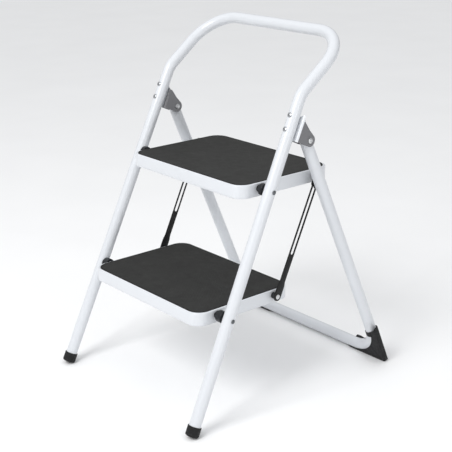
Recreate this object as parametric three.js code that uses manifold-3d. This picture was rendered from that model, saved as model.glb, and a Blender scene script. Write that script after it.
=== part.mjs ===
// Folding two-step step stool, open and standing on the floor.
// Millimetres, +Z up, front = -Y, symmetric about X = 0, floor at Z = 0.
import * as THREE from 'three';
import { mergeVertices } from 'three/addons/utils/BufferGeometryUtils.js';
import Module from 'manifold-3d';

const wasm = await Module();
wasm.setup();

// ---- driving dimensions -------------------------------------------------
const TUBE_R = 12.5;                // 25 mm round steel tube
const TUBE_WALL = 1.5;
const FOOTPRINT_MID_Y = 283.6;      // middle of the floor footprint, front to back
const LEAN = THREE.MathUtils.degToRad(24.88);   // front legs lean back
const FRONT_X0 = 224.5;             // front leg axis at the floor
const FRONT_TAPER = 0.02155;        // legs draw together going up, mm per mm
const KINK_Z = 648;                 // handle bends rearward here
const HANDLE_X = 212;
const HANDLE_Y = 434;
const HANDLE_Z = 752.5;             // axis of the top bar
const KINK_R = 59;
const CORNER_R = 84;
const HINGE_X = 214.5;              // rear leg axis at the hinge
const HINGE_Y = 311.5;
const HINGE_Z = 556;
const REAR_X = 225.5;               // rear leg axis, carried down to the bar
const REAR_Y = 554;
const REAR_Z = 15.5;
const REAR_BEND_R = 72;
const STEP_HALF_W = 183;            // pressed step tray
const STEP_DEPTH = 256;
const STEP_CORNER = 28;
const SKIRT = 28;
const SHEET = 1.6;
const RIM = 3.4;                    // painted rim left around the mat
const MAT_RISE = 0.8;               // mat stands proud of the rim
const PIVOT_BACK = 51;              // front pivot behind the step's front edge
const PIVOT_DROP = 12;              // pivots below the tread
const PIVOT_SPAN = 154;             // front pivot to link pivot
const TREADS = { upper: 478, lower: 236 };
const GAP = 0.3;
const SPACER_R = 12.4;            // flange of the spacer against the leg
const HUB_R = 8;                    // its narrow end, against the skirt
const BUSH_R = 6.5;                 // bush on the slot stud
const PIN_R = 3;
const LINK_IN = 194.2;              // link plate between these two planes
const LINK_OUT = 197.2;
const LINK_W = 14;
const LINK_END_R = 9.3;             // lower eye
const LINK_TOP_R = 7;               // upper eye, with wider shoulders below it
const SHOULDER = 10.5;
const SLOT_W = 8.5;
const SLOT_FROM = 92.6;             // along the link from its lower pivot
const SLOT_TO = 251;
const EAR_IN = 13.1;                // bracket ear faces from the hinge leg axis
const EAR_T = 2;

const SIDES = [['left', -1], ['right', 1]];
const TAN = Math.tan(LEAN);
const V = (x, y, z) => new THREE.Vector3(x, y, z);

// ---- colours ------------------------------------------------------------
const white = () => new THREE.MeshStandardMaterial({ color: 0xf1f2f4, roughness: 0.35, metalness: 0.1 });
const black = () => new THREE.MeshStandardMaterial({ color: 0x1e1f20, roughness: 0.6 });
const matGrey = () => new THREE.MeshStandardMaterial({ color: 0x35353a, roughness: 0.9 });
const greyPaint = () => new THREE.MeshStandardMaterial({ color: 0x707076, roughness: 0.5, metalness: 0.3 });
const steel = () => new THREE.MeshStandardMaterial({ color: 0xb9bcc0, roughness: 0.35, metalness: 0.9 });

// ---- solid helpers ------------------------------------------------------
function solid(geometry) {
  const g = geometry.clone();
  g.deleteAttribute('normal');
  g.deleteAttribute('uv');
  const m = mergeVertices(g, 1e-4);
  const index = m.index ? m.index.array : [...Array(m.attributes.position.count).keys()];
  return new wasm.Manifold(new wasm.Mesh({
    numProp: 3,
    vertProperties: new Float32Array(m.attributes.position.array),
    triVerts: new Uint32Array(index),
  }));
}

function toGeometry(manifold) {
  const mesh = manifold.getMesh();
  const g = new THREE.BufferGeometry();
  g.setAttribute('position', new THREE.BufferAttribute(new Float32Array(mesh.vertProperties), 3));
  g.setIndex(new THREE.BufferAttribute(new Uint32Array(mesh.triVerts), 1));
  return g;
}

const group = new THREE.Group();
group.name = 'step_stool';

function addPart(name, manifold, material) {
  const mesh = new THREE.Mesh(toGeometry(manifold), material);
  mesh.name = name;
  group.add(mesh);
}

// A path through given stations, with rings set square to the bends.
class StationPath extends THREE.Curve {
  constructor(points) {
    super();
    this.points = points;
  }

  getPoint(t, target = new THREE.Vector3()) {
    return target.copy(this.points[Math.round(t * (this.points.length - 1))]);
  }

  getPointAt(t, target) {
    return this.getPoint(t, target);
  }

  getTangent(t, target = new THREE.Vector3()) {
    const p = this.points;
    const k = Math.round(t * (p.length - 1));
    const before = p[Math.max(k, 1)].clone().sub(p[Math.max(k, 1) - 1]).normalize();
    const j = Math.min(k, p.length - 2);
    const after = p[j + 1].clone().sub(p[j]).normalize();
    return target.copy(before.add(after).normalize());
  }

  getTangentAt(t, target) {
    return this.getTangent(t, target);
  }
}

// Corner points joined by straights, each inner corner rounded to its radius.
function roundedPath(corners, radii, stepDeg = 11.25) {
  const out = [corners[0]];
  for (let i = 1; i < corners.length - 1; i += 1) {
    const a = corners[i - 1].clone().sub(corners[i]).normalize();
    const b = corners[i + 1].clone().sub(corners[i]).normalize();
    const turn = Math.PI - a.angleTo(b);
    const back = radii[i - 1] * Math.tan(turn / 2);
    const start = corners[i].clone().addScaledVector(a, back);
    const bisector = a.clone().add(b).normalize();
    const centre = corners[i].clone().addScaledVector(bisector, radii[i - 1] / Math.cos(turn / 2));
    const axis = a.clone().cross(b).normalize().negate();
    const arm = start.clone().sub(centre);
    const n = Math.max(2, Math.ceil(THREE.MathUtils.radToDeg(turn) / stepDeg));
    for (let k = 0; k <= n; k += 1) {
      out.push(arm.clone().applyAxisAngle(axis, (turn * k) / n).add(centre));
    }
  }
  out.push(corners[corners.length - 1]);
  return new StationPath(out);
}

function sweep(path, radius, around = 16) {
  const ring = new THREE.Shape();
  for (let i = 0; i < around; i += 1) {
    const a = (2 * Math.PI * i) / around;
    if (i === 0) ring.moveTo(radius, 0);
    else ring.lineTo(radius * Math.cos(a), radius * Math.sin(a));
  }
  const g = new THREE.ExtrudeGeometry(ring, {
    steps: path.points.length - 1,
    extrudePath: path,
    bevelEnabled: false,
  });
  return solid(g);
}

// A turned piece: profile points are [radius, distance along the axis].
function turned(profile, from, direction, around = 14) {
  const pts = profile.map(([r, d]) => new THREE.Vector2(r, d));
  const g = new THREE.LatheGeometry(pts, around);
  const q = new THREE.Quaternion().setFromUnitVectors(V(0, 1, 0), direction.clone().normalize());
  g.applyQuaternion(q);
  g.translate(from.x, from.y, from.z);
  return solid(g);
}

function rod(radius, from, to, around = 10) {
  const d = to.clone().sub(from);
  return turned([[0, 0], [radius, 0], [radius, d.length()], [0, d.length()]], from, d, around);
}

function block(sx, sy, sz, at) {
  const g = new THREE.BoxGeometry(sx, sy, sz);
  g.translate(at.x, at.y, at.z);
  return solid(g);
}

// Rounded rectangle centred on the origin.
function roundedRect(w, d, r) {
  const s = new THREE.Shape();
  s.moveTo(-w / 2 + r, -d / 2);
  s.lineTo(w / 2 - r, -d / 2);
  s.absarc(w / 2 - r, -d / 2 + r, r, -Math.PI / 2, 0, false);
  s.lineTo(w / 2, d / 2 - r);
  s.absarc(w / 2 - r, d / 2 - r, r, 0, Math.PI / 2, false);
  s.lineTo(-w / 2 + r, d / 2);
  s.absarc(-w / 2 + r, d / 2 - r, r, Math.PI / 2, Math.PI, false);
  s.lineTo(-w / 2, -d / 2 + r);
  s.absarc(-w / 2 + r, -d / 2 + r, r, Math.PI, 1.5 * Math.PI, false);
  return s;
}

function slab(w, d, r, z0, z1, bevel = 0) {
  const g = new THREE.ExtrudeGeometry(roundedRect(w - 2 * bevel, d - 2 * bevel, r - bevel), {
    depth: z1 - z0 - 2 * bevel,
    curveSegments: 5,
    bevelEnabled: bevel > 0,
    bevelThickness: bevel,
    bevelSize: bevel,
    bevelSegments: 2,
  });
  g.translate(0, 0, z0 + bevel);
  return solid(g);
}

// ---- front frame --------------------------------------------------------
const frontX = (z) => FRONT_X0 - FRONT_TAPER * z;
const frontPoint = (side, z) => V(side * frontX(z), TAN * z, z);
const legUp = V(0, Math.sin(LEAN), Math.cos(LEAN));
const legBack = V(0, Math.cos(LEAN), -Math.sin(LEAN));
// A point u mm up along the leg line and n mm behind its axis.
const onLeg = (x, u, n) => V(x, 0, 0).addScaledVector(legUp, u).addScaledVector(legBack, n);

const CAP_Z = 4.2;                  // centre of a foot cap's end face
const BRACKET_RIVETS = { upper: 668.5, lower: 639 };

const pivots = {};
for (const [step, tread] of Object.entries(TREADS)) {
  const z = tread - PIVOT_DROP;
  pivots[step] = { y: TAN * z, z, linkY: TAN * z + PIVOT_SPAN };
}

function frontCorners(zEnd) {
  return [
    frontPoint(1, zEnd), frontPoint(1, KINK_Z), V(HANDLE_X, HANDLE_Y, HANDLE_Z),
    V(-HANDLE_X, HANDLE_Y, HANDLE_Z), frontPoint(-1, KINK_Z), frontPoint(-1, zEnd),
  ];
}

function frontFrame() {
  const radii = [KINK_R, CORNER_R, CORNER_R, KINK_R];
  let tube = sweep(roundedPath(frontCorners(CAP_Z + 6.2), radii), TUBE_R);
  tube = tube.subtract(sweep(roundedPath(frontCorners(CAP_Z + 2), radii), TUBE_R - TUBE_WALL, 10));
  for (const [, s] of SIDES) {
    for (const p of Object.values(pivots)) {
      tube = tube.subtract(rod(PIN_R + 0.4, V(s * 190, p.y, p.z), V(s * 250, p.y, p.z)));
    }
    for (const u of Object.values(BRACKET_RIVETS)) {
      tube = tube.subtract(rod(2.9, onLeg(s * 212, u, -20), onLeg(s * 212, u, 20)));
    }
  }
  return tube;
}

function footCap(side) {
  const end = frontPoint(side, CAP_Z);
  const up = frontPoint(side, 200).sub(end).normalize();
  const cap = turned([
    [0, 0], [12.3, 0], [13.7, 0.6], [14.3, 2], [14.3, 20.6], [13.7, 21.4], [12.8, 21.4], [12.8, 6], [0, 6],
  ], end, up, 22);
  const floor = block(80, 80, 40, V(end.x, end.y, -20));
  return cap.subtract(floor);
}

// ---- rear frame ---------------------------------------------------------
const rearDown = V(REAR_X - HINGE_X, REAR_Y - HINGE_Y, REAR_Z - HINGE_Z).normalize();
const rearPoint = (side, d) => V(
  side * (HINGE_X + rearDown.x * d), HINGE_Y + rearDown.y * d, HINGE_Z + rearDown.z * d);
const REAR_TOP = -14;               // the leg runs on past the hinge pin

// The link centre line meets the rear leg axis here: the slot stud.
const SLOPE = (HINGE_Y - REAR_Y) / (HINGE_Z - REAR_Z);
const STUD_Z = (HINGE_Y - SLOPE * HINGE_Z - pivots.lower.linkY + TAN * pivots.lower.z) / (TAN - SLOPE);
const STUD_Y = HINGE_Y + SLOPE * (STUD_Z - HINGE_Z);
const studAxisX = HINGE_X + (rearDown.x / rearDown.z) * (STUD_Z - HINGE_Z);

function rearCorners(from) {
  return [
    rearPoint(1, from), V(REAR_X, REAR_Y, REAR_Z), V(-REAR_X, REAR_Y, REAR_Z), rearPoint(-1, from),
  ];
}

function rearFrame() {
  const radii = [REAR_BEND_R, REAR_BEND_R];
  let tube = sweep(roundedPath(rearCorners(REAR_TOP), radii), TUBE_R);
  tube = tube.subtract(sweep(roundedPath(rearCorners(REAR_TOP - 4), radii), TUBE_R - TUBE_WALL, 10));
  for (const [, s] of SIDES) {
    tube = tube.subtract(rod(4.3, V(s * 190, HINGE_Y, HINGE_Z), V(s * 240, HINGE_Y, HINGE_Z)));
    tube = tube.subtract(rod(4.3, V(s * 190, STUD_Y, STUD_Z), V(s * studAxisX, STUD_Y, STUD_Z)));
  }
  return tube;
}

function rearPlug(side) {
  const end = rearPoint(side, REAR_TOP);
  const down = rearPoint(side, 100).sub(end).normalize();
  return turned([
    [0, -2.6], [6, -2.2], [10.5, -1.2], [12.3, -0.3], [10, -0.3], [10, 4.5], [8.4, 4.5],
    [8.4, 1.5], [0, 1.5],
  ], end, down, 18);
}

// Corner shoe, in the plane of the leg: x across, v up the leg, w frontwards.
// It cups the back, underside and outer side of the lower bend, so the tube
// stays bare at the front; a short collar closes round the leg above it.
const SHOE_FACE = [
  [120, -24], [120, 0], [150, 2], [150, 14.6], [163, 14.9], [170.6, 8.2], [186.5, 14.8], [200.2, 25.3],
  [210.7, 39], [217.3, 54.9], [219.5, 72], [224, 74], [236, 76], [243, 83], [248.5, 91], [250.5, 60],
  [251.5, 10], [251, -4], [247, -12], [240, -24],
];
const SHOE_PLAN = [
  [141, 11], [246, 11], [250, 9], [251.5, 5], [250, 0], [246, -3], [229, -15], [150, -15], [150, -4],
  [127, -1], [127, 5.5],
];
const SHOE_RIM = [[205, 68], [224, 72], [236, 75.5], [243, 82], [249, 92], [262, 100], [262, 130], [205, 130]];

function rearShoe(side) {
  const tilt = Math.atan2(REAR_Y - HINGE_Y, HINGE_Z - REAR_Z);
  const lay = (g) => {
    g.rotateX(Math.PI / 2 + tilt);
    g.translate(0, REAR_Y, REAR_Z);
    return solid(g);
  };
  const plate = (points, from, to) => {
    const s = new THREE.Shape(points.map(([x, v]) => new THREE.Vector2(x, v)));
    const g = new THREE.ExtrudeGeometry(s, { depth: to - from, bevelEnabled: false });
    g.translate(0, 0, from);
    return lay(g);
  };
  const column = (points) => {
    const s = new THREE.Shape(points.map(([x, w]) => new THREE.Vector2(x, -w)));
    const g = new THREE.ExtrudeGeometry(s, { depth: 200, bevelEnabled: false });
    g.rotateX(-Math.PI / 2);
    g.translate(0, -60, 0);
    return lay(g);
  };
  const path = roundedPath(rearCorners(REAR_TOP), [REAR_BEND_R, REAR_BEND_R]);
  let shoe = plate(SHOE_FACE, -15, 11).intersect(column(SHOE_PLAN));
  shoe = shoe.add(rod(14, rearPoint(1, 515), rearPoint(1, 533), 22));
  shoe = shoe.subtract(plate([[100, 1], [175, 1], [175, 30], [100, 30]], -2, 20));
  shoe = shoe.subtract(sweep(path, TUBE_R + GAP));
  shoe = shoe.subtract(plate(SHOE_RIM, -30, 30));
  shoe = shoe.subtract(block(400, 400, 60, V(200, REAR_Y, -30)));
  const parts = shoe.decompose().sort((a, b) => b.volume() - a.volume());
  return side > 0 ? parts[0] : parts[0].mirror([1, 0, 0]);
}

// ---- hinge brackets -----------------------------------------------------
function bracket(side) {
  const inner = HINGE_X - EAR_IN - EAR_T;
  const outer = HINGE_X + EAR_IN + EAR_T;
  const lay = (g) => {
    g.applyMatrix4(new THREE.Matrix4().makeBasis(V(1, 0, 0), legBack, legUp));
    return solid(g);
  };
  const hingeU = HINGE_Y * legUp.y + HINGE_Z * legUp.z;
  const hingeN = HINGE_Y * legBack.y + HINGE_Z * legBack.z;
  const ear = (x0) => {
    const s = new THREE.Shape();
    s.moveTo(TUBE_R + GAP, 622.5);
    s.lineTo(hingeN - 3, hingeU - 12.8);
    s.absarc(hingeN, hingeU, 12.8, -1.75, 1.05, false);
    s.lineTo(38, 654);
    s.lineTo(26.5, 661);
    s.lineTo(TUBE_R + GAP, 669);
    const g = new THREE.ExtrudeGeometry(s, { depth: EAR_T, bevelEnabled: false, curveSegments: 8 });
    g.applyMatrix4(new THREE.Matrix4().makeBasis(V(0, 1, 0), V(0, 0, 1), V(1, 0, 0)));
    g.translate(x0, 0, 0);
    return lay(g);
  };
  const web = new THREE.ExtrudeGeometry(roundedRect(outer - inner, 56.5, 2.5), {
    depth: EAR_T, bevelEnabled: false, curveSegments: 3,
  });
  web.rotateX(Math.PI / 2);
  web.translate((inner + outer) / 2, TUBE_R + GAP + EAR_T, 650.75);
  let part = ear(inner).add(ear(outer - EAR_T)).add(lay(web));
  part = part.subtract(rod(4.3, V(inner - 5, HINGE_Y, HINGE_Z), V(outer + 5, HINGE_Y, HINGE_Z)));
  for (const u of Object.values(BRACKET_RIVETS)) {
    part = part.subtract(rod(2.9, onLeg(212, u, 5), onLeg(212, u, 25)));
  }
  return side > 0 ? part : part.mirror([1, 0, 0]);
}

// ---- rivets, pins and spacers -------------------------------------------
// Domed head, shank, domed tail; from the outer head's seat to the tail's.
function rivet(seat, tail, shank, headR, headH, tailR, tailH) {
  const d = tail.clone().sub(seat);
  const len = d.length();
  return turned([
    [0, -headH], [headR * 0.55, -headH * 0.85], [headR * 0.9, -headH * 0.4], [headR, 0], [shank, 0],
    [shank, len], [tailR, len], [tailR * 0.9, len + tailH * 0.5], [tailR * 0.55, len + tailH],
    [0, len + tailH],
  ], seat, d, 12);
}

function spacer(from, to, radius, bore, around = 20) {
  const d = to.clone().sub(from);
  const len = d.length();
  const e = Math.min(1, len / 4);
  return turned([
    [bore, 0], [radius - e, 0], [radius, e], [radius, len - e], [radius - e, len], [bore, len], [bore, 0],
  ], from, d, around);
}

// Narrow hub against the step's skirt, wide flange against the leg.
function flangedSpacer(from, to) {
  const d = to.clone().sub(from);
  const len = d.length();
  const bore = PIN_R + 0.4;
  return turned([
    [bore, 0], [HUB_R - 0.8, 0], [HUB_R, 0.8], [HUB_R, 7.7], [SPACER_R - 1, 7.7], [SPACER_R, 8.7],
    [SPACER_R, len - 1], [SPACER_R - 1, len], [bore, len], [bore, 0],
  ], from, d, 20);
}

// ---- steps --------------------------------------------------------------
function tray(step) {
  const p = pivots[step];
  const top = TREADS[step] - MAT_RISE;
  const centreY = p.y - PIVOT_BACK + STEP_DEPTH / 2;
  const w = 2 * STEP_HALF_W;
  let part = slab(w, STEP_DEPTH, STEP_CORNER, -SKIRT - 4, 0, 1.5);
  part = part.subtract(block(w + 20, STEP_DEPTH + 20, 20, V(0, 0, -SKIRT - 10)));
  const under = slab(w - 2 * SHEET, STEP_DEPTH - 2 * SHEET, STEP_CORNER - SHEET, -SKIRT - 5, -3.8);
  const recess = slab(w - 2 * RIM, STEP_DEPTH - 2 * RIM, STEP_CORNER - RIM, -2.2, 5);
  part = part.subtract(under).subtract(recess).translate([0, centreY, top]);
  for (const y of [p.y, p.linkY]) {
    part = part.subtract(rod(PIN_R + 0.4, V(-200, y, p.z), V(200, y, p.z)));
  }
  return part;
}

function mat(step) {
  const p = pivots[step];
  const inset = RIM + GAP;
  const w = 2 * STEP_HALF_W - 2 * inset;
  const part = slab(w, STEP_DEPTH - 2 * inset, STEP_CORNER - inset, 0, 2.7, 0.6);
  return part.translate([0, p.y - PIVOT_BACK + STEP_DEPTH / 2, TREADS[step] - 2.7]);
}

// ---- slotted links ------------------------------------------------------
function link(side) {
  const p = pivots.lower;
  const length = (TREADS.upper - TREADS.lower) / Math.cos(LEAN);
  const s = new THREE.Shape();
  const h = LINK_W / 2;
  s.moveTo(h, 34);
  s.lineTo(h, length - 24);
  s.lineTo(SHOULDER - 1, length - 22);
  s.lineTo(SHOULDER, length - 19);
  s.lineTo(SHOULDER, length - 11);
  s.absarc(0, length, LINK_TOP_R, -0.3, Math.PI + 0.3, false);
  s.lineTo(-SHOULDER, length - 11);
  s.lineTo(-SHOULDER, length - 19);
  s.lineTo(-SHOULDER + 1, length - 22);
  s.lineTo(-h, length - 24);
  s.lineTo(-h, 34);
  s.lineTo(-LINK_END_R, 24);
  s.absarc(0, 0, LINK_END_R, Math.PI, 2 * Math.PI, false);
  s.lineTo(LINK_END_R, 24);
  const slot = new THREE.Path();
  const r = SLOT_W / 2;
  slot.absarc(0, SLOT_TO - r, r, 0, Math.PI, false);
  slot.absarc(0, SLOT_FROM + r, r, Math.PI, 2 * Math.PI, false);
  s.holes.push(slot);
  for (const at of [0, length]) {
    const hole = new THREE.Path();
    hole.absarc(0, at, PIN_R + 0.4, 0, 2 * Math.PI, false);
    s.holes.push(hole);
  }
  const g = new THREE.ExtrudeGeometry(s, {
    depth: LINK_OUT - LINK_IN, bevelEnabled: false, curveSegments: 5,
  });
  g.applyMatrix4(new THREE.Matrix4().makeBasis(legBack, legUp, V(1, 0, 0)));
  g.translate(LINK_IN, p.linkY, p.z);
  const part = solid(g);
  return side > 0 ? part : part.mirror([1, 0, 0]);
}

// ---- assembly -----------------------------------------------------------
addPart('front_frame', frontFrame(), white());
addPart('rear_frame', rearFrame(), white());

for (const [name, s] of SIDES) {
  addPart(`foot_cap_${name}`, footCap(s), black());
  addPart(`rear_shoe_${name}`, rearShoe(s), black());
  addPart(`rear_plug_${name}`, rearPlug(s), black());
  addPart(`hinge_bracket_${name}`, bracket(s), greyPaint());
  addPart(`link_${name}`, link(s), black());

  for (const [end, u] of Object.entries(BRACKET_RIVETS)) {
    const seat = onLeg(s * 212, u, -TUBE_R - GAP);
    const tail = onLeg(s * 212, u, TUBE_R + EAR_T + 2 * GAP);
    addPart(`bracket_rivet_${end}_${name}`, rivet(seat, tail, 2.5, 5.2, 2.2, 4.2, 1.6), steel());
  }

  const earOut = HINGE_X + EAR_IN + EAR_T + GAP;
  const earIn = HINGE_X - EAR_IN - EAR_T - GAP;
  const pinSeat = V(s * earOut, HINGE_Y, HINGE_Z);
  const pinTail = V(s * earIn, HINGE_Y, HINGE_Z);
  addPart(`hinge_pin_${name}`, rivet(pinSeat, pinTail, 3.9, 5.8, 2.2, 6, 1.2), steel());

  for (const [step, p] of Object.entries(pivots)) {
    const axis = frontX(p.z);
    const skirtOut = STEP_HALF_W + GAP;
    const tubeIn = axis - TUBE_R - 2 * GAP;
    const seat = V(s * (axis + TUBE_R + 2 * GAP), p.y, p.z);
    const tail = V(s * (STEP_HALF_W - SHEET - GAP), p.y, p.z);
    addPart(`step_pivot_${step}_${name}`, rivet(seat, tail, PIN_R, 5.2, 2.2, 5.5, 2), steel());
    const ring = flangedSpacer(V(s * skirtOut, p.y, p.z), V(s * tubeIn, p.y, p.z));
    addPart(`step_spacer_${step}_${name}`, ring, black());

    const linkSeat = V(s * (LINK_OUT + GAP), p.linkY, p.z);
    const linkTail = V(s * (STEP_HALF_W - SHEET - GAP), p.linkY, p.z);
    addPart(`link_rivet_${step}_${name}`, rivet(linkSeat, linkTail, PIN_R, 5, 1.2, 5.5, 2), steel());
    const bush = spacer(V(s * skirtOut, p.linkY, p.z), V(s * (LINK_IN - GAP), p.linkY, p.z), 7, PIN_R + 0.4, 12);
    addPart(`link_bush_${step}_${name}`, bush, black());
  }

  // Stud on the rear leg's inner side, behind its disc; its tip stops just
  // short of the link's slot.
  const wallIn = studAxisX - TUBE_R;
  const seat = V(s * (studAxisX - 8.2), STUD_Y, STUD_Z);
  const tip = V(s * (LINK_OUT + GAP), STUD_Y, STUD_Z);
  const stud = turned([
    [0, -2], [5, -2], [5.6, -1.2], [5.6, 0], [4, 0], [4, seat.distanceTo(tip)], [0, seat.distanceTo(tip)],
  ], seat, tip.clone().sub(seat), 12);
  addPart(`slot_stud_${name}`, stud, steel());
  const disc = spacer(V(s * (LINK_OUT + 2 * GAP), STUD_Y, STUD_Z), V(s * (wallIn - 2 * GAP), STUD_Y, STUD_Z),
    BUSH_R, 4.3, 12);
  addPart(`slot_disc_${name}`, disc, black());
}

for (const step of Object.keys(TREADS)) {
  addPart(`${step}_step`, tray(step), white());
  addPart(`${step}_mat`, mat(step), matGrey());
}

// The row's origin is the middle of the footprint.
for (const child of group.children) {
  child.position.y = -FOOTPRINT_MID_Y;
}

export default group;
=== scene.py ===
import math
import bpy
import bmesh
from mathutils import Matrix, Quaternion, Vector


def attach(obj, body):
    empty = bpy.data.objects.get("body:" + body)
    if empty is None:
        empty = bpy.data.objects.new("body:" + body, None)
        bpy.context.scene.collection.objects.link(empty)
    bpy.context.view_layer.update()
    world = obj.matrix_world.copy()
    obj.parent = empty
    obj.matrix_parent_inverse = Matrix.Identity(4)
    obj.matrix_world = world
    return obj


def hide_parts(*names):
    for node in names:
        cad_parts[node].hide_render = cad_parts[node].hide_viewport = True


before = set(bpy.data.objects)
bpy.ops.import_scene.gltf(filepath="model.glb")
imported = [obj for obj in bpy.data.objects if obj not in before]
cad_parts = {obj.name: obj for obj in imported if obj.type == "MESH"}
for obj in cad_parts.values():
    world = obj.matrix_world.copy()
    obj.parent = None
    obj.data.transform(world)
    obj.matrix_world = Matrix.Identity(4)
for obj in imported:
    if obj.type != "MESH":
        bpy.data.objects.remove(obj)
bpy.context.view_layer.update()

# ------------------------------------------------------------------ sizes, mm
OFF = 283.6                      # the origin sits this far behind the front legs' foot line
TUBE_R, TUBE_WALL = 12.5, 1.5
LEAN = math.radians(24.88)
TAN = math.tan(LEAN)
CAP_Z = 4.2                      # underside of the front tube's ferrules, on the leg's axis
KINK_Z = 648.0                   # the handle bends rearward here
HANDLE = (212.0, 434.0, 752.5)   # axis of the top bar, at its corner
HANDLE_RADII = (59, 84, 84, 59)
HINGE = (214.5, 311.5, 556.0)    # rear leg axis at the hinge pin
REAR = (225.5, 554.0, 15.5)      # rear leg axis, carried down to the crossbar
REAR_TOP = -14.0                 # the rear leg runs on past its hinge pin
REAR_BEND_R = 72.0
STUD_U = {"upper": 668.5, "lower": 639.0}    # bracket rivets, measured up the leg
HALF_W, DEPTH, CORNER, SKIRT, SHEET = 183.0, 256.0, 28.0, 28.0, 1.6
RIM, MAT_RISE = 3.4, 0.8
EDGE_R = 2.6                     # rolled top edge of the tray
PIVOT_BACK = 51.0                # front pivot behind the step's front edge
RECESS_EXTRA_R = 5.0             # the mat's recess has rounder corners than the tray
TREADS = {"upper": 478.0, "lower": 236.0}
PIVOT_DROP = 12
PIV = {k: (TAN * (z - PIVOT_DROP), z - PIVOT_DROP) for k, z in TREADS.items()}
LINK_SPAN = 154.0
LINK_IN, LINK_OUT = 194.2, 197.2
SLOT_FROM, SLOT_TO, SLOT_R = 92.6, 251.0, 4.25
PIN_BORE = 3.4
GAP = 0.3
SIDES = (("left", -1), ("right", 1))
UP = Vector((0, math.sin(LEAN), math.cos(LEAN)))
BACK = Vector((0, math.cos(LEAN), -math.sin(LEAN)))


def cosd(a):
    return math.cos(math.radians(a))


def sind(a):
    return math.sin(math.radians(a))


def front_x(z):
    return 224.5 - 0.02155 * z


def on_leg(x, u, n):
    return Vector((x, 0, 0)) + UP * u + BACK * n


down = (Vector(REAR) - Vector(HINGE)).normalized()


def rear_point(s, d):
    p = Vector(HINGE) + down * d
    return Vector((s * p.x, p.y, p.z))


slope = (HINGE[1] - REAR[1]) / (HINGE[2] - REAR[2])
# the link's centre line meets the rear leg's axis at the slot stud
STUD_Z = HINGE[1] - slope * HINGE[2] - (PIV["lower"][0] + LINK_SPAN) + TAN * PIV["lower"][1]
STUD_Z /= TAN - slope
STUD_Y = HINGE[1] + slope * (STUD_Z - HINGE[2])
STUD_AX = HINGE[0] + (down.x / down.z) * (STUD_Z - HINGE[2])


# ------------------------------------------------------------------ materials
class Mat:
    """One node material built round a Principled shader."""

    def __init__(self, name):
        self.m = bpy.data.materials.new(name)
        self.m.use_nodes = True
        self.n = self.m.node_tree.nodes
        self.l = self.m.node_tree.links
        self.b = self.n["Principled BSDF"]
        self.co = self.n.new("ShaderNodeTexCoord").outputs["Object"]

    def set(self, **k):
        for key, v in k.items():
            self.b.inputs[key.replace("_", " ")].default_value = v
        return self

    def noise(self, scale, detail=3, rough=0.5):
        t = self.n.new("ShaderNodeTexNoise")
        t.inputs["Scale"].default_value = scale
        t.inputs["Detail"].default_value = detail
        t.inputs["Roughness"].default_value = rough
        self.l.new(self.co, t.inputs["Vector"])
        return t.outputs["Fac"]

    def ramp(self, fac, stops):
        r = self.n.new("ShaderNodeValToRGB")
        e = r.color_ramp.elements
        while len(e) > len(stops):
            e.remove(e[-1])
        while len(e) < len(stops):
            e.new(1.0)
        for k, (pos, c) in enumerate(stops):
            e[k].position = pos
            e[k].color = c if len(c) == 4 else (*c, 1)
        self.l.new(fac, r.inputs["Fac"])
        return r.outputs["Color"]

    def span(self, fac, a, b, lo=0.0, hi=1.0):
        r = self.n.new("ShaderNodeMapRange")
        r.inputs["From Min"].default_value = lo
        r.inputs["From Max"].default_value = hi
        r.inputs["To Min"].default_value = a
        r.inputs["To Max"].default_value = b
        self.l.new(fac, r.inputs["Value"])
        return r.outputs["Result"]

    def math(self, op, a, b=None):
        m = self.n.new("ShaderNodeMath")
        m.operation = op
        for k, v in enumerate((a, b)):
            if v is None:
                continue
            if isinstance(v, (int, float)):
                m.inputs[k].default_value = v
            else:
                self.l.new(v, m.inputs[k])
        return m.outputs[0]

    def mix(self, fac, a, b):
        m = self.n.new("ShaderNodeMix")
        m.data_type = "RGBA"
        for sock, v in ((m.inputs[0], fac), (m.inputs[6], a), (m.inputs[7], b)):
            if isinstance(v, (tuple, float)):
                sock.default_value = v if isinstance(v, float) else (*v, 1)
            else:
                self.l.new(v, sock)
        return m.outputs[2]

    def color(self, out):
        self.l.new(out, self.b.inputs["Base Color"])
        return self

    def rough(self, out):
        self.l.new(out, self.b.inputs["Roughness"])
        return self

    def bump(self, heights, distance=0.001):
        last = None
        for h, strength in heights:
            bp = self.n.new("ShaderNodeBump")
            bp.inputs["Strength"].default_value = strength
            bp.inputs["Distance"].default_value = distance
            self.l.new(h, bp.inputs["Height"])
            if last:
                self.l.new(last, bp.inputs["Normal"])
            last = bp.outputs["Normal"]
        self.l.new(last, self.b.inputs["Normal"])
        return self


def worn(m, scale, amount):
    """A mask of convex edges, broken up by noise."""
    g = m.n.new("ShaderNodeNewGeometry")
    p = m.span(g.outputs["Pointiness"], 0.0, 1.0, 0.52, 0.62)
    k = m.math("MULTIPLY", p, m.span(m.noise(scale, 4), 0.0, 1.0, 0.45, 0.7))
    return m.math("MULTIPLY", k, amount)


def powder_coat(name, tone, dirt, sheen=0.0):
    """Smooth baked paint with a very faint grain and a few specks."""
    m = Mat(name)
    big = m.noise(7, 4)
    base = m.ramp(big, [(0.3, tuple(c * (1 - dirt) for c in tone)), (0.7, tone)])
    specks = m.span(m.noise(520, 2), 0.0, 1.0, 0.70, 0.76)
    base = m.mix(m.math("MULTIPLY", specks, 0.12), base, tuple(c * 0.6 for c in tone))
    m.color(base)
    m.rough(m.math("ADD", m.span(m.noise(38, 4), 0.27, 0.33), m.math("MULTIPLY", specks, 0.1)))
    m.set(Coat_Weight=0.25 + sheen, Coat_Roughness=0.12, Metallic=0.0)
    m.bump([(m.noise(1100, 2), 0.035)], 0.0005)
    return m.m


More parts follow.
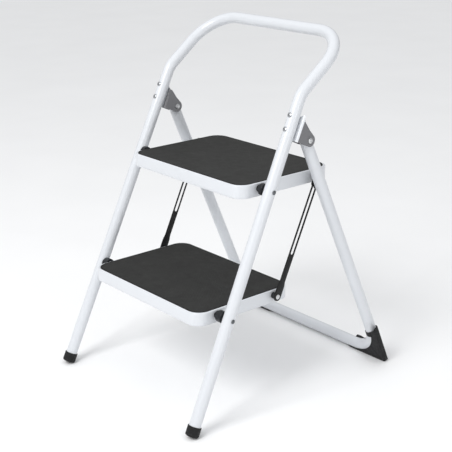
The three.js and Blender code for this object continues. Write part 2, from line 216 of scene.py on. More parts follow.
def plastic(name, tone, r0, r1, grain, strength, gloss):
    """Dark rubber, plastic or satin paint, paler where its edges rub."""
    m = Mat(name)
    base = m.ramp(m.noise(30, 5), [(0.3, tone), (0.75, tuple(c * 1.5 for c in tone))])
    base = m.mix(worn(m, 260, 0.5), base, tuple(min(1, c * 3.5) for c in tone))
    m.color(base)
    m.rough(m.span(m.noise(90, 4), r0, r1))
    m.set(Specular_IOR_Level=gloss)
    m.bump([(m.noise(grain, 3), strength), (m.noise(grain / 6, 2), strength * 0.5)], 0.0006)
    return m.m


def metal(name, tone, r0, r1):
    m = Mat(name)
    base = m.ramp(m.noise(60, 5), [(0.25, tuple(c * 0.78 for c in tone)), (0.7, tone)])
    spots = m.span(m.noise(700, 2), 0.0, 1.0, 0.62, 0.72)
    m.color(m.mix(m.math("MULTIPLY", spots, 0.25), base, tuple(c * 0.5 for c in tone)))
    m.rough(m.span(m.noise(200, 4), r0, r1))
    m.set(Metallic=1.0)
    m.bump([(m.noise(1400, 2), 0.08), (m.noise(260, 2), 0.05)], 0.0004)
    return m.m


def tread_rubber(name):
    m = Mat(name)
    sep = m.n.new("ShaderNodeSeparateXYZ")
    m.l.new(m.co, sep.inputs[0])
    pitch = 0.0042                # metres from rib to rib

    def ribs(axis):
        ph = m.math("MULTIPLY", sep.outputs[axis], 2 * math.pi / pitch)
        return m.math("ADD", m.math("MULTIPLY", m.math("SINE", ph), 0.5), 0.5)
    grid = m.math("MULTIPLY", ribs("X"), ribs("Y"))
    dust = m.noise(16, 5, 0.6)
    base = m.ramp(dust, [(0.25, (0.024, 0.024, 0.023)), (0.75, (0.031, 0.031, 0.0295))])
    base = m.mix(m.math("MULTIPLY", grid, 0.45), base, (0.048, 0.048, 0.046))
    m.color(base)
    m.rough(m.span(m.noise(70, 4), 0.62, 0.85))
    m.set(Specular_IOR_Level=0.2)
    m.bump([(grid, 0.55), (m.noise(900, 3), 0.12)], 0.0006)
    return m.m


WHITE = powder_coat("white_powder_coat", (0.695, 0.715, 0.745), 0.012)
GREY = powder_coat("grey_bracket_paint", (0.145, 0.145, 0.155), 0.06, 0.6)
BLACK_PAINT = plastic("black_link_paint", (0.009, 0.009, 0.009), 0.28, 0.45, 700, 0.06, 0.22)
RUBBER = plastic("black_foot_rubber", (0.012, 0.012, 0.0125), 0.5, 0.7, 500, 0.18, 0.2)
PLASTIC = plastic("black_spacer_plastic", (0.010, 0.011, 0.013), 0.25, 0.42, 600, 0.08, 0.35)
EDGE_RUBBER = plastic("tread_edge_rubber", (0.014, 0.014, 0.0135), 0.6, 0.8, 500, 0.15, 0.2)
TREAD = tread_rubber("ribbed_tread_rubber")
STEEL = metal("rivet_zinc_steel", (0.72, 0.73, 0.74), 0.22, 0.42)
# the bracket studs use a darker copy of the rivet steel: painted shade for the grey, shaded look of the studs
# on the far bracket
STUD = metal("stud_zinc_steel", (0.50, 0.51, 0.53), 0.22, 0.38)
# steel of the step pivot rivets, made very dark as painted shade for the shaded hollow of the rivet head
RIVET_STEEL_PAINTED_SHADE = metal("rivet_steel_painted_shade", (0.17, 0.18, 0.19), 0.30, 0.50)
BARE = metal("bare_tube_end", (0.45, 0.45, 0.46), 0.35, 0.55)


# ------------------------------------------------------------------ mesh tools
def mm(v):
    return Vector((v[0] / 1000, (v[1] - OFF) / 1000, v[2] / 1000))


def make(name, verts, faces, mats, body, nodes, smooth=35, face_mats=None):
    me = bpy.data.meshes.new(name)
    me.from_pydata([mm(v) for v in verts], [], faces)
    me.validate()
    bm = bmesh.new()
    bm.from_mesh(me)
    bmesh.ops.recalc_face_normals(bm, faces=bm.faces)
    bm.to_mesh(me)
    bm.free()
    ob = bpy.data.objects.new(name, me)
    bpy.context.collection.objects.link(ob)
    for mt in (mats if isinstance(mats, (list, tuple)) else [mats]):
        me.materials.append(mt)
    if face_mats:
        for p, k in zip(me.polygons, face_mats):
            p.material_index = k
    finish_piece(ob, body, nodes, smooth)
    return ob


def finish_piece(ob, body, nodes, smooth=35):
    me = ob.data
    me.polygons.foreach_set("use_smooth", [True] * len(me.polygons))
    me.set_sharp_from_angle(angle=math.radians(smooth))
    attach(ob, body)
    if nodes:
        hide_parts(*nodes)


def rounded_path(corners, radii, step=3.0):
    """Straights joined by arcs, one station for every step degrees of bend."""
    out = [corners[0].copy()]
    for i in range(1, len(corners) - 1):
        a = (corners[i - 1] - corners[i]).normalized()
        b = (corners[i + 1] - corners[i]).normalized()
        turn = math.pi - a.angle(b)
        r = radii[i - 1]
        start = corners[i] + a * (r * math.tan(turn / 2))
        centre = corners[i] + (a + b).normalized() * (r / math.cos(turn / 2))
        axis = -(a.cross(b)).normalized()
        arm = start - centre
        n = max(3, math.ceil(math.degrees(turn) / step))
        for k in range(n + 1):
            out.append(Quaternion(axis, turn * k / n) @ arm + centre)
    out.append(corners[-1].copy())
    return out


def tube_mesh(path, r, wall, around=40, lip=0.8):
    """A hollow tube with rounded, bare cut ends; also a material for each face."""
    t = []
    for k in range(len(path)):
        a = (path[max(k, 1)] - path[max(k, 1) - 1]).normalized()
        j = min(k, len(path) - 2)
        b = (path[j + 1] - path[j]).normalized()
        t.append((a + b).normalized())
    n = t[0].orthogonal().normalized()
    rings = []
    for k, p in enumerate(path):
        if k:
            n = (t[k - 1].rotation_difference(t[k])) @ n
        n = (n - t[k] * n.dot(t[k])).normalized()
        rings.append((p, t[k], n.copy()))
    stations = [(p, tt, nn, r) for p, tt, nn in rings]
    first, last = stations[0], stations[-1]
    e = min(lip, wall / 2)
    deep = 30                     # the bore is drawn this far in from each end
    head = [(first[0] + first[1] * d, first[1], first[2], rad)
            for d, rad in ((deep, r - wall), (e, r - wall), (0, r - e))]
    tail = [(last[0] - last[1] * d, last[1], last[2], rad)
            for d, rad in ((0, r - e), (e, r - wall), (deep, r - wall))]
    stations[0] = (first[0] + first[1] * e, first[1], first[2], r)
    stations[-1] = (last[0] - last[1] * e, last[1], last[2], r)
    allr = head + stations + tail
    verts, faces, fm = [], [], []
    for p, tt, nn, rad in allr:
        bb = tt.cross(nn)
        for k in range(around):
            a = 2 * math.pi * k / around
            verts.append(p + (nn * math.cos(a) + bb * math.sin(a)) * rad)
    for s in range(len(allr) - 1):
        inner = s < 2 or s >= len(allr) - 3
        for k in range(around):
            k2 = (k + 1) % around
            faces.append((s * around + k, s * around + k2, (s + 1) * around + k2, (s + 1) * around + k))
            fm.append(int(inner))
    faces.append(tuple(range(around)))
    faces.append(tuple(range((len(allr) - 1) * around, len(allr) * around)))
    fm += [1, 1]
    return verts, faces, fm


def lathe(profile, at, axis, around=40):
    """Turned solid; profile is [radius, distance along the axis]."""
    axis = axis.normalized()
    n = axis.orthogonal().normalized()
    b = axis.cross(n)
    verts, faces, rows = [], [], []
    for rad, d in profile:
        if rad < 1e-6:
            rows.append([len(verts)])
            verts.append(at + axis * d)
        else:
            rows.append(list(range(len(verts), len(verts) + around)))
            for k in range(around):
                a = 2 * math.pi * k / around
                verts.append(at + axis * d + (n * math.cos(a) + b * math.sin(a)) * rad)
    closed = profile[0] == profile[-1]
    pairs = list(zip(rows[:-1], rows[1:]))
    if closed:
        verts = verts[:rows[-1][0]]
        pairs[-1] = (rows[-2], rows[0])
    for r0, r1 in pairs:
        for k in range(around):
            k2 = (k + 1) % around
            if len(r0) == 1 and len(r1) == 1:
                continue
            if len(r0) == 1:
                faces.append((r0[0], r1[k], r1[k2]))
            elif len(r1) == 1:
                faces.append((r0[k], r0[k2], r1[0]))
            else:
                faces.append((r0[k], r0[k2], r1[k2], r1[k]))
    return verts, faces


def arc(cx, cy, r, a0, a1, n):
    angles = [a0 + (a1 - a0) * k / n for k in range(n + 1)]
    return [(cx + r * cosd(a), cy + r * sind(a)) for a in angles]


def plate(outline, holes, t0, t1, place, bevel=0.5):
    """A flat plate with holes cut through it, edges rounded."""
    bm = bmesh.new()
    loops = []
    for loop in [outline] + holes:
        vs = [bm.verts.new((x, y, 0)) for x, y in loop]
        loops += [bm.edges.new((vs[k], vs[(k + 1) % len(vs)])) for k in range(len(vs))]
    bmesh.ops.triangle_fill(bm, use_beauty=True, use_dissolve=False, edges=loops)
    bmesh.ops.recalc_face_normals(bm, faces=bm.faces)
    ext = bmesh.ops.extrude_face_region(bm, geom=list(bm.faces))
    top = [g for g in ext["geom"] if isinstance(g, bmesh.types.BMVert)]
    for v in bm.verts:
        v.co.z = t0
    for v in top:
        v.co.z = t1
    bmesh.ops.recalc_face_normals(bm, faces=bm.faces)
    rim = [e for e in bm.edges if len(e.link_faces) == 2
           and abs(e.link_faces[0].normal.dot(e.link_faces[1].normal)) < 0.3
           and abs(e.verts[0].co.z - e.verts[1].co.z) < 1e-6]
    if bevel:
        bmesh.ops.bevel(bm, geom=rim, offset=bevel, segments=2, affect="EDGES", profile=0.6)
    bm.verts.index_update()
    verts = [place(v.co) for v in bm.verts]
    faces = [tuple(v.index for v in f.verts) for f in bm.faces]
    bm.free()
    return verts, faces


def join(*parts):
    verts, faces = [], []
    for v, f in parts:
        o = len(verts)
        verts += list(v)
        faces += [tuple(i + o for i in face) for face in f]
    return verts, faces


# ------------------------------------------------------------------ tubes
def front_point(s, z):
    return Vector((s * front_x(z), TAN * z, z))


ends = CAP_Z + 6.2
corners = [front_point(1, ends), front_point(1, KINK_Z), Vector(HANDLE),
           Vector((-HANDLE[0], HANDLE[1], HANDLE[2])), front_point(-1, KINK_Z), front_point(-1, ends)]
v, f, fm = tube_mesh(rounded_path(corners, HANDLE_RADII), TUBE_R, TUBE_WALL)
make("front_tube", v, f, [WHITE, BARE], "front_frame", ["front_frame"], face_mats=fm)

corners = [rear_point(1, REAR_TOP), Vector(REAR), Vector((-REAR[0], REAR[1], REAR[2])),
           rear_point(-1, REAR_TOP)]
rear_path = rounded_path(corners, (REAR_BEND_R, REAR_BEND_R))
v, f, fm = tube_mesh(rear_path, TUBE_R, TUBE_WALL)
make("rear_tube", v, f, [WHITE, BARE], "rear_frame", ["rear_frame"], face_mats=fm)


# ------------------------------------------------------------------ steps
def rect_ring(inset, z, y0, extra=0.0, n=14):
    """Rounded rectangle of the step's outline, drawn in by inset."""
    w, d, r = HALF_W - inset, DEPTH / 2 - inset, CORNER - inset + extra
    pts = []
    for cx, cy, a in ((w - r, d - r, 0), (-w + r, d - r, 90), (-w + r, -d + r, 180), (w - r, -d + r, 270)):
        pts += arc(cx, cy, r, a, a + 90, n)
    return [Vector((x, y + y0, z)) for x, y in pts]


def loft(rings):
    n = len(rings[0])
    verts = [p for ring in rings for p in ring]
    faces = []
    for s in range(len(rings) - 1):
        for k in range(n):
            k2 = (k + 1) % n
            faces.append((s * n + k, s * n + k2, (s + 1) * n + k2, (s + 1) * n + k))
    faces.append(tuple(range(n)))
    faces.append(tuple(range((len(rings) - 1) * n, len(rings) * n)))
    return verts, faces


def step(which):
    y, _ = PIV[which]
    mid = y - PIVOT_BACK + DEPTH / 2
    top = TREADS[which] - MAT_RISE
    prof = [(RIM + 0.4, -2.2), (RIM, -1.9), (RIM - 0.1, -0.4), (RIM - 0.4, -0.1), (2.8, 0.0), (EDGE_R, 0.0)]
    prof += [(EDGE_R - EDGE_R * sind(a), -EDGE_R + EDGE_R * cosd(a)) for a in (15, 30, 45, 60, 75, 90)]
    prof += [(0.0, -10.0), (0.0, -20.0), (0.0, -SKIRT + 0.8), (0.25, -SKIRT + 0.2), (0.8, -SKIRT),
             (1.3, -SKIRT + 0.2), (SHEET, -SKIRT + 0.8), (SHEET, -8.0), (SHEET + 0.6, -5.0),
             (SHEET + 2.0, -3.9)]
    # the first four rings are the recess for the mat
    rings = [rect_ring(i, top + d, mid, RECESS_EXTRA_R if k < 4 else 0.0) for k, (i, d) in enumerate(prof)]
    v, f = loft(rings)
    make(f"{which}_tray", v, f, WHITE, f"{which}_step", [f"{which}_step"], 50)
    base = TREADS[which]
    inset = RIM + GAP
    # a plain bead round the edge, then the ribbed field a little lower
    prof = [(inset + 0.6, -2.7), (inset, -2.2), (inset, -0.7), (inset + 0.25, -0.2), (inset + 0.8, 0.0),
            (inset + 2.6, 0.0), (inset + 3.1, -0.25), (inset + 3.6, -0.45)]
    rings = [rect_ring(i, base + d, mid, RECESS_EXTRA_R) for i, d in prof]
    v, f = loft(rings)
    fmats = [1] * (len(f) - 2) + [1, 0]
    make(f"{which}_ribbed_mat", v, f, [TREAD, EDGE_RUBBER], f"{which}_step", [f"{which}_mat"],
         40, face_mats=fmats)


for which in TREADS:
    step(which)


# ------------------------------------------------------------------ turned pieces
def dome(r, h, base, sign, n=8):
    """Points of a domed head from its rim to its crown, heading outwards."""
    R = (r * r + h * h) / (2 * h)
    top = math.degrees(math.asin(min(1, r / R)))
    pts = []
    for k in range(n + 1):
        a = math.radians(top * (1 - k / n))
        pts.append((R * math.sin(a), base + sign * (R * math.cos(a) - (R - h))))
    pts[-1] = (0.0, base + sign * h)
    return pts


def rivet(name, seat, tail, shank, hr, hh, tr, th, body, node, mat=STEEL, dimple=False):
    """Domed head of radius hr and height hh at the seat, domed tail of radius tr and height th."""
    d = tail - seat
    ln = d.length
    head = list(reversed(dome(hr, hh - 0.5, -0.5, -1)))
    if dimple:
        cup = [(0.0, -hh + 0.9), (1.2, -hh + 0.8), (1.9, -hh + 0.1), (2.5, -hh)]
        head = cup + [p for p in head if p[0] > 2.9]
    prof = head + [(hr, -0.35), (hr - 0.15, 0.0), (shank, 0.0), (shank, ln), (tr - 0.15, ln), (tr, ln + 0.35)]
    prof += [(r, dd) for r, dd in dome(tr, th - 0.4, ln + 0.4, 1)]
    v, f = lathe(prof, seat, d, 32)
    make(name, v, f, mat, body, [node], 40)


def ring(name, a, b, radius, bore, body, node, soft=1.2):
    """A plain bush from a to b with softly rounded edges."""
    d = b - a
    ln = d.length
    e = min(soft, ln / 3)
    prof = [(bore, 0.4), (bore + 0.4, 0.0), (radius - e, 0.0)]
    prof += [(radius - e + e * sind(t), e - e * cosd(t)) for t in (22, 45, 67, 90)]
    prof += [(radius - e + e * cosd(t), ln - e + e * sind(t)) for t in (0, 22, 45, 67, 90)]
    prof += [(bore + 0.4, ln), (bore, ln - 0.4), (bore, 0.4)]
    v, f = lathe(prof, a, d, 48)
    make(name, v, f, PLASTIC, body, [node], 40)


def flanged(name, a, b, body, node):
    """Spacer with a narrow hub at the step and a wide flange at the leg."""
    ln = (b - a).length
    prof = [(PIN_BORE, 0.4), (PIN_BORE + 0.4, 0.0), (7.2, 0.0), (7.8, 0.25), (8.0, 0.8), (8.0, 7.2),
            (8.2, 7.6), (8.8, 7.8)]
    prof += arc(10.9, 9.3, 1.5, -90, 0, 5) + arc(11.2, ln - 1.2, 1.2, 0, 90, 5)
    prof += [(PIN_BORE + 0.4, ln), (PIN_BORE, ln - 0.4), (PIN_BORE, 0.4)]
    v, f = lathe(prof, a, b - a, 48)
    make(name, v, f, PLASTIC, body, [node], 40)


def across(s, x, y, z):
    """A point on the given side, x millimetres out from the middle."""
    return Vector((s * x, y, z))


def tube_ends(side, s):
    """The ferrule on the front leg and the plug in the rear leg's upper end."""
    end = front_point(s, CAP_Z)
    up = (front_point(s, 200) - end).normalized()
    prof = [(0.0, 0.0), (12.0, 0.0)] + arc(11.3, 3.0, 3.0, -90, 0, 6)[1:]
    prof += [(14.3, 5.0), (14.05, 5.4), (14.05, 6.2), (14.3, 6.6), (14.3, 19.8)]
    prof += arc(13.6, 20.4, 0.7, 0, 90, 4) + [(12.9, 21.1), (12.75, 20.6), (12.75, 6.0), (0.0, 6.0)]
    v, f = lathe(prof, end, up, 48)
    v = [Vector((p.x, p.y, max(p.z, 0.0))) for p in v]    # the tread is flat on the floor
    make(f"ferrule_{side}", v, f, RUBBER, "front_frame", [f"foot_cap_{side}"], 40)

    top = rear_point(s, REAR_TOP)
    prof = [(0.0, -2.6), (5, -2.4), (9, -1.7), (11.6, -0.9), (12.3, -0.3), (10.8, -0.3), (10.8, 4.5),
            (8.6, 4.5), (8.6, 1.5), (0.0, 1.5)]
    v, f = lathe(prof, top, (rear_point(s, 100) - top).normalized(), 40)
    make(f"tube_plug_{side}", v, f, PLASTIC, "rear_frame", [f"rear_plug_{side}"], 40)


def hinge_rivets(side, s):
    x = HANDLE[0]
    for pos, u in STUD_U.items():
        rivet(f"bracket_stud_{pos}_{side}", on_leg(s * x, u, -TUBE_R - 0.1), on_leg(s * x, u, TUBE_R + 2.6),
              2.5, 5.2, 2.2, 4.2, 1.6, "front_frame", f"bracket_rivet_{pos}_{side}", STUD)
    out = 15.4                    # just clear of the bracket's ears
    rivet(f"hinge_rivet_{side}", across(s, HINGE[0] + out, *HINGE[1:]), across(s, HINGE[0] - out, *HINGE[1:]),
          3.9, 5.8, 2.2, 6.0, 1.2, "front_frame", f"hinge_pin_{side}", STEEL, True)


def step_joints(side, s, which):
    """Pivot rivet and spacer at the front leg, rivet and collar at the link."""
    y, z = PIV[which]
    ax = front_x(z)
    skirt_in, skirt_out = HALF_W - SHEET - GAP, HALF_W + GAP
    rivet(f"step_rivet_{which}_{side}", across(s, ax + TUBE_R + 0.3, y, z), across(s, skirt_in, y, z),
          3.0, 4.6, 2.0, 5.5, 2.0, "front_frame", f"step_pivot_{which}_{side}", RIVET_STEEL_PAINTED_SHADE)
    flanged(f"disc_spacer_{which}_{side}", across(s, skirt_out, y, z), across(s, ax - TUBE_R - 0.5, y, z),
            "front_frame", f"step_spacer_{which}_{side}")
    y += LINK_SPAN
    rivet(f"link_stud_{which}_{side}", across(s, LINK_OUT + 0.2, y, z), across(s, skirt_in, y, z),
          3.0, 5.2, 1.3, 5.5, 2.0, f"{which}_step", f"link_rivet_{which}_{side}")
    ring(f"link_collar_{which}_{side}", across(s, skirt_out, y, z), across(s, LINK_IN - GAP, y, z),
         7.0, PIN_BORE, f"{which}_step", f"link_bush_{which}_{side}")


def slot_pin(side, s):
    """The stud on the rear leg, ending just short of the link, and its bush."""
    seat = across(s, STUD_AX - 8.2, STUD_Y, STUD_Z)
    tip = across(s, LINK_OUT + GAP, STUD_Y, STUD_Z)
    ln = (tip - seat).length
    prof = [(0.0, -2.0), (4.6, -2.0), (5.6, -1.2), (5.6, 0.0), (4.0, 0.0), (4.0, ln - 0.4), (3.6, ln),
            (0.0, ln)]
    v, f = lathe(prof, seat, tip - seat, 32)
    make(f"slot_pin_{side}", v, f, STEEL, "rear_frame", [f"slot_stud_{side}"], 40)
    ring(f"slot_washer_{side}", across(s, LINK_OUT + 0.6, STUD_Y, STUD_Z),
         across(s, STUD_AX - TUBE_R - 0.5, STUD_Y, STUD_Z), 6.5, 4.3, "rear_frame", f"slot_disc_{side}", 1.6)


for side, s in SIDES:
    tube_ends(side, s)
    hinge_rivets(side, s)
    for which in PIV:
        step_joints(side, s, which)
    slot_pin(side, s)


# ------------------------------------------------------------------ links
LEN = (TREADS["upper"] - TREADS["lower"]) / math.cos(LEAN)


def link(side, s):
    """Slotted strap: round eye below, small eye and wide shoulders above."""
    h, R = 7.0, 9.3               # half width of the strap, lower eye
    wide, eye = 10.5, 7.0         # shoulders, upper eye
    n = 16
    out = [(h, 36.0), (h, LEN - 25.0), (h + 0.5, LEN - 24)] + arc(wide - 3, LEN - 20.2, 3, -60, 0, 5)
    out += [(wide, LEN - 13), (wide - 0.6, LEN - 10)]
    out += arc(0, LEN, eye, -15, 195, n)
    out += [(0.6 - wide, LEN - 10), (-wide, LEN - 13)] + arc(3 - wide, LEN - 20.2, 3, 180, 240, 5)
    out += [(-h - 0.5, LEN - 24), (-h, LEN - 25.0), (-h, 36)]
    out += [(-h - 0.5, 31), (-R + 0.5, 25), (-R, 20)]
    out += arc(0, 0, R, 180, 360, n)
    out += [(R, 20), (R - 0.5, 25), (h + 0.5, 31)]
    slot = arc(0, SLOT_TO - SLOT_R, SLOT_R, 0, 180, 12) + arc(0, SLOT_FROM + SLOT_R, SLOT_R, 180, 360, 12)
    holes = [slot, arc(0, 0, PIN_BORE, 0, 345, 23), arc(0, LEN, PIN_BORE, 0, 345, 23)]
    y0, z0 = PIV["lower"][0] + LINK_SPAN, PIV["lower"][1]

    def place(p):
        q = Vector((0, y0, z0)) + BACK * p.x + UP * p.y
        return Vector((s * p.z, q.y, q.z))
    body = plate(out, holes, LINK_IN, LINK_OUT, place, 0.5)
    # pressed rib down the solid part
    rib = [(1.6 * cosd(22.5 * k), sind(22.5 * k)) for k in range(9)]
    vv, ff = [], []
    ys = [38, 40, 44] + [50 + 6 * k for k in range(5)] + [80, 83, 85]
    for j, yy in enumerate(ys):
        sc = min(1.0, 0.25 + 0.35 * min(j, len(ys) - 1 - j))
        for x, hgt in rib:
            q = Vector((0, y0, z0)) + BACK * (x * sc) + UP * yy
            vv.append(Vector((s * (LINK_OUT - 0.15 + hgt * sc * 0.8), q.y, q.z)))
    m = len(rib)
    for j in range(len(ys) - 1):
        for k in range(m - 1):
            ff.append((j * m + k, j * m + k + 1, (j + 1) * m + k + 1, (j + 1) * m + k))
        ff.append((j * m + m - 1, j * m, (j + 1) * m, (j + 1) * m + m - 1))
    ff.append(tuple(range(m)))
    ff.append(tuple(range((len(ys) - 1) * m, len(ys) * m)))
    v, f = join(body, (vv, ff))
    make(f"slotted_link_{side}", v, f, BLACK_PAINT, f"link_{side}", [f"link_{side}"], 30)


for side, s in SIDES:
    link(side, s)


# ------------------------------------------------------------------ brackets
def bracket(side, s):
    """A pressed channel: ear, rounded bend, web, rounded bend, ear."""
    t = 2.0
    xin, xout = HINGE[0] - 15.1, HINGE[0] + 15.1
    hu = HINGE[1] * UP.y + HINGE[2] * UP.z
    hn = HINGE[1] * BACK.y + HINGE[2] * BACK.z
    n0 = TUBE_R + GAP
    rb = 5.5                       # outside bend radius
    ear = [(n0 + rb, 622.5), (hn - 3, hu - 12.8)]
    a0, a1 = math.degrees(-1.75), math.degrees(1.05)
    ear += arc(hn, hu, 12.8, a0, a1, 18)
    ear += [(38, 654.0), (26.5, 661), (n0 + rb, 665.8)]
    hole = arc(hn, hu, 4.2, 0, 345, 23)

    def ear_at(x0, x1):
        return plate(ear, [hole], x0, x1, lambda p: on_leg(s * p.z, p.y, p.x), 0.0)

    def bend(x, turn, r):
        """Stations round one bend; x is its centre, turn -1 at the inner side."""
        return [(x + turn * r * cosd(a), n0 + rb - r * sind(a)) for a in (0, 22.5, 45, 67.5, 90)]

    parts = [ear_at(xin, xin + t), ear_at(xout - t, xout)]
    # the web with its two bends, swept up the leg line
    outer, inner = bend(xout - rb, 1, rb), bend(xin + rb, -1, rb)
    sec = outer + inner[::-1] + bend(xin + rb, -1, rb - t) + bend(xout - rb, 1, rb - t)[::-1]
    vv, ff = [], []
    us = [622.5, 623.1, 640.0, 664.6, 667.0, 669.0, 671.0, 674.0, 677.6, 679.0]
    for j, u in enumerate(us):
        for x, n in sec:
            xx = x
            # above the ears the bend dies out into the flat web
            n = min(n, n0 + t + (rb - t) * min(1, max(0, (671.0 - u) / 6.4)))
            if u > 670:            # the web's top corners are rounded off
                cut = 1.2 if u < 678 else 3.0
                xx = min(max(x, xin + cut), xout - cut)
            # and the web's top edge falls away towards the inner side
            share = 0.1 + 0.9 * (x - xin) / (xout - xin)
            uu = min(u, 664.6 + (u - 664.6) * share) if u > 664.6 else u
            vv.append(on_leg(s * xx, uu, n))
    m = len(sec)
    for j in range(len(us) - 1):
        for k in range(m):
            k2 = (k + 1) % m
            ff.append((j * m + k, j * m + k2, (j + 1) * m + k2, (j + 1) * m + k))
    ff.append(tuple(range(m)))
    ff.append(tuple(range((len(us) - 1) * m, len(us) * m)))
    parts.append((vv, ff))
    # a low ring pressed round the hinge hole on the outer ear
    rv, rf = lathe([(6.6, 0.0), (7.2, 0.35), (8.6, 0.5), (10.0, 0.35), (10.6, 0.0), (6.6, 0.0)],
                   Vector((s * (xout - 0.1), HINGE[1], HINGE[2])), Vector((s, 0, 0)), 40)
    parts.append((rv, rf))
    v, f = join(*parts)
    # the outer bend and the web, beside the tube, get the white paint as a painted highlight: it stands in
    # for the light caught on the grey bend
    first = len(parts[0][1]) + len(parts[1][1])
    fm = [0] * len(f)
    for j in range(len(us) - 1):
        for k in (1, 2, 3, 4):
            fm[first + j * m + k] = 1
    make(f"hinge_channel_{side}", v, f, [GREY, WHITE], "front_frame", [f"hinge_bracket_{side}"],
         40, face_mats=fm)


for side, s in SIDES:
    bracket(side, s)


# ------------------------------------------------------------------ rear shoes
TILT = math.atan2(REAR[1] - HINGE[1], HINGE[2] - REAR[2])


def lay(x, v, w):
    """Leg-plane coordinates: x across, v up the leg, w out of the plane, frontwards."""
    sn, cs = math.sin(TILT), math.cos(TILT)
    return Vector((x, REAR[1] - v * sn - w * cs, REAR[2] + v * cs - w * sn))


def temp(name, verts, faces):
    """A mesh in millimetres, for cutting with."""
    me = bpy.data.meshes.new(name)
    me.from_pydata([mm(p) * 1000 for p in verts], [], faces)
    bm = bmesh.new()
    bm.from_mesh(me)
    bmesh.ops.recalc_face_normals(bm, faces=bm.faces)
    bm.to_mesh(me)
    bm.free()
    ob = bpy.data.objects.new(name, me)
    bpy.context.collection.objects.link(ob)
    return ob


def skin(low, high):
    """Two matching outlines closed into a solid."""
    n = len(low)
    f = [tuple(range(n)), tuple(range(2 * n - 1, n - 1, -1))]
    f += [(k, (k + 1) % n, n + (k + 1) % n, n + k) for k in range(n)]
    return low + high, f


def prism(points, w0, w1):
    """A prism standing out of the leg plane, its section given as (x, v)."""
    return skin([lay(x, v, w0) for x, v in points], [lay(x, v, w1) for x, v in points])


def column(points, v0, v1):
    """A prism standing up the leg plane, its section given as (x, w)."""
    return skin([lay(x, v0, w) for x, w in points], [lay(x, v1, w) for x, w in points])


def boolean(base, other, op):
    md = base.modifiers.new("b", "BOOLEAN")
    md.object = other
    md.operation = op
    md.solver = "EXACT"
    apply_all(base)
    bpy.data.objects.remove(other)


def apply_all(ob):
    dg = bpy.context.evaluated_depsgraph_get()
    me = bpy.data.meshes.new_from_object(ob.evaluated_get(dg))
    ob.modifiers.clear()
    ob.data = me


# the shoe seen square on to the leg plane, then from above it
FACE = [(120, -26), (120, 0), (150, 2), (150, 10.2), (163, 10.6), (170.6, 8.2), (186.5, 14.8), (200.2, 25.3),
        (210.7, 39), (217.3, 54.9), (219.5, 72), (222, 96), (248.8, 96), (250.5, 60), (251.5, 10), (251, -4),
        (247, -12), (240, -26)]
PLAN = [(141, 11), (244, 11), (247.5, 10.2), (250, 8.3), (251.5, 5), (251.2, 2), (250, 0), (246, -3),
        (229, -15), (150, -15), (150, -4), (127, -1), (127, 5.5)]
RIM_CUT = [(205, 68), (224, 72), (236, 75.5), (243, 82), (249, 92), (262, 100), (262, 140), (205, 140)]


def soften(ob, width, segments, angle):
    md = ob.modifiers.new("r", "BEVEL")
    md.width = width
    md.segments = segments
    md.limit_method = "ANGLE"
    md.angle_limit = math.radians(angle)
    apply_all(ob)


def solid_sweep(path, r, around):
    """The outside of a tube, closed at its ends."""
    v, _, _ = tube_mesh(path, r, 0.8, around)
    v = v[2 * around:-2 * around]
    m = len(v) // around
    f = []
    for k in range(m - 1):
        for j in range(around):
            j2 = (j + 1) % around
            f.append((k * around + j, k * around + j2, (k + 1) * around + j2, (k + 1) * around + j))
    return v, f + [tuple(range(around)), tuple(range((m - 1) * around, m * around))]


def shoe(side, s):
    """Cups the lower bend from behind, below and outside, with a collar above."""
    main = temp("shoe_main", *prism(FACE, -15, 11))
    boolean(main, temp("plan", *column(PLAN, -60, 140)), "INTERSECT")
    near, far = rear_point(1, 515), rear_point(1, 533)
    prof = [(0.0, 0.0), (13.4, 0.0), (14.0, 0.6), (14.0, 17.4), (13.4, 18.0), (0.0, 18.0)]
    boolean(main, temp("collar", *lathe(prof, near, far - near, 56)), "UNION")
    boolean(main, temp("lip", *prism([(100, 1), (175, 1), (175, 30), (100, 30)], -2, 26)), "DIFFERENCE")
    boolean(main, temp("hole", *solid_sweep(rear_path, TUBE_R + 0.2, 48)), "DIFFERENCE")
    boolean(main, temp("rim", *prism(RIM_CUT, -40, 40)), "DIFFERENCE")
    under = [[Vector((x, y, z)) for x, y in ((50, 450), (300, 450), (300, 700), (50, 700))] for z in (-90, 0)]
    boolean(main, temp("floorcut", *skin(*under)), "DIFFERENCE")
    soften(main, 0.5, 2, 42)
    me = main.data
    for p in me.vertices:
        c = p.co / 1000
        p.co = (s * c.x, c.y, max(c.z, 0.0))
    if s < 0:
        me.flip_normals()
    main.name = f"corner_shoe_{side}"
    me.materials.clear()
    me.materials.append(RUBBER)
    finish_piece(main, "rear_frame", [f"rear_shoe_{side}"], 35)


for side, s in SIDES:
    shoe(side, s)


# ------------------------------------------------------------------ stage, light, camera
def stage_plane():
    bm = bmesh.new()
    bmesh.ops.create_grid(bm, x_segments=8, y_segments=8, size=9)
    me = bpy.data.meshes.new("floor")
    bm.to_mesh(me)
    bm.free()
    ob = bpy.data.objects.new("floor", me)
    bpy.context.collection.objects.link(ob)
    m = Mat("pale_floor")
    m.color(m.ramp(m.noise(3, 2), [(0.3, (0.93, 0.93, 0.93)), (0.7, (0.95, 0.95, 0.95))]))
    m.set(Roughness=0.9)
    me.materials.append(m.m)


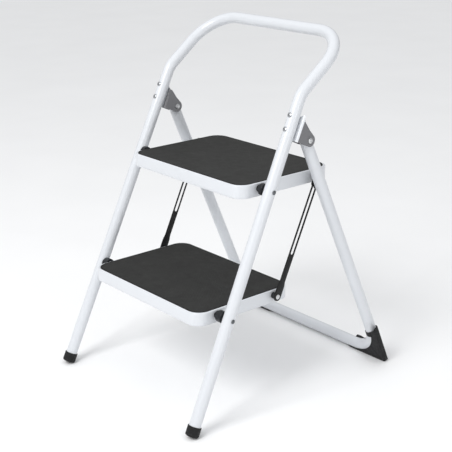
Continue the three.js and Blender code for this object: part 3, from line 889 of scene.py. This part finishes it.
stage_plane()
world = bpy.data.worlds.new("studio")
bpy.context.scene.world = world
world.use_nodes = True
wn, wl = world.node_tree.nodes, world.node_tree.links
bg = wn["Background"]
sky = wn.new("ShaderNodeTexCoord").outputs["Generated"]
sep = wn.new("ShaderNodeSeparateXYZ")
wl.new(sky, sep.inputs[0])
rise = wn.new("ShaderNodeMapRange")
rise.inputs["From Min"].default_value, rise.inputs["From Max"].default_value = 0.0, 1.0
rise.inputs["To Min"].default_value, rise.inputs["To Max"].default_value = 0.30, 1.05
wl.new(sep.outputs["Z"], rise.inputs["Value"])
wl.new(rise.outputs["Result"], bg.inputs["Strength"])
bg.inputs["Color"].default_value = (0.975, 0.985, 1.0, 1)


def area(name, at, aim, size, watts):
    d = bpy.data.lights.new(name, "AREA")
    d.shape = "RECTANGLE"
    d.size = d.size_y = size
    d.energy = watts
    ob = bpy.data.objects.new(name, d)
    bpy.context.collection.objects.link(ob)
    ob.location = at
    ob.rotation_euler = (Vector(aim) - Vector(at)).to_track_quat("-Z", "Y").to_euler()
    return ob


area("key", (0.45, -2.6, 2.75), (0, 0, 0.35), 1.4, 66)
area("fill", (3.0, -0.3, 1.0), (0, 0, 0.4), 1.2, 9)

cam = bpy.data.cameras.new("camera")
cam.sensor_width = 36
cam.lens = 83.888
cam.clip_start = 0.05
cam_ob = bpy.data.objects.new("camera", cam)
bpy.context.collection.objects.link(cam_ob)
az, el, roll = math.radians(49.48), math.radians(18.72), math.radians(-0.23)
back = Vector((math.sin(az) * math.cos(el), -math.cos(az) * math.cos(el), math.sin(el)))
right = Vector((math.cos(az), math.sin(az), 0))
up = back.cross(right)
rolled_right = right * math.cos(roll) + up * math.sin(roll)
rolled_up = -right * math.sin(roll) + up * math.cos(roll)
place = Matrix((rolled_right, rolled_up, back)).transposed().to_4x4()
place.translation = Vector((1.6724, -1.1439 - OFF / 1000, 1.0694))
cam_ob.matrix_world = place
bpy.context.scene.camera = cam_ob
bpy.context.scene.view_settings.view_transform = "Standard"
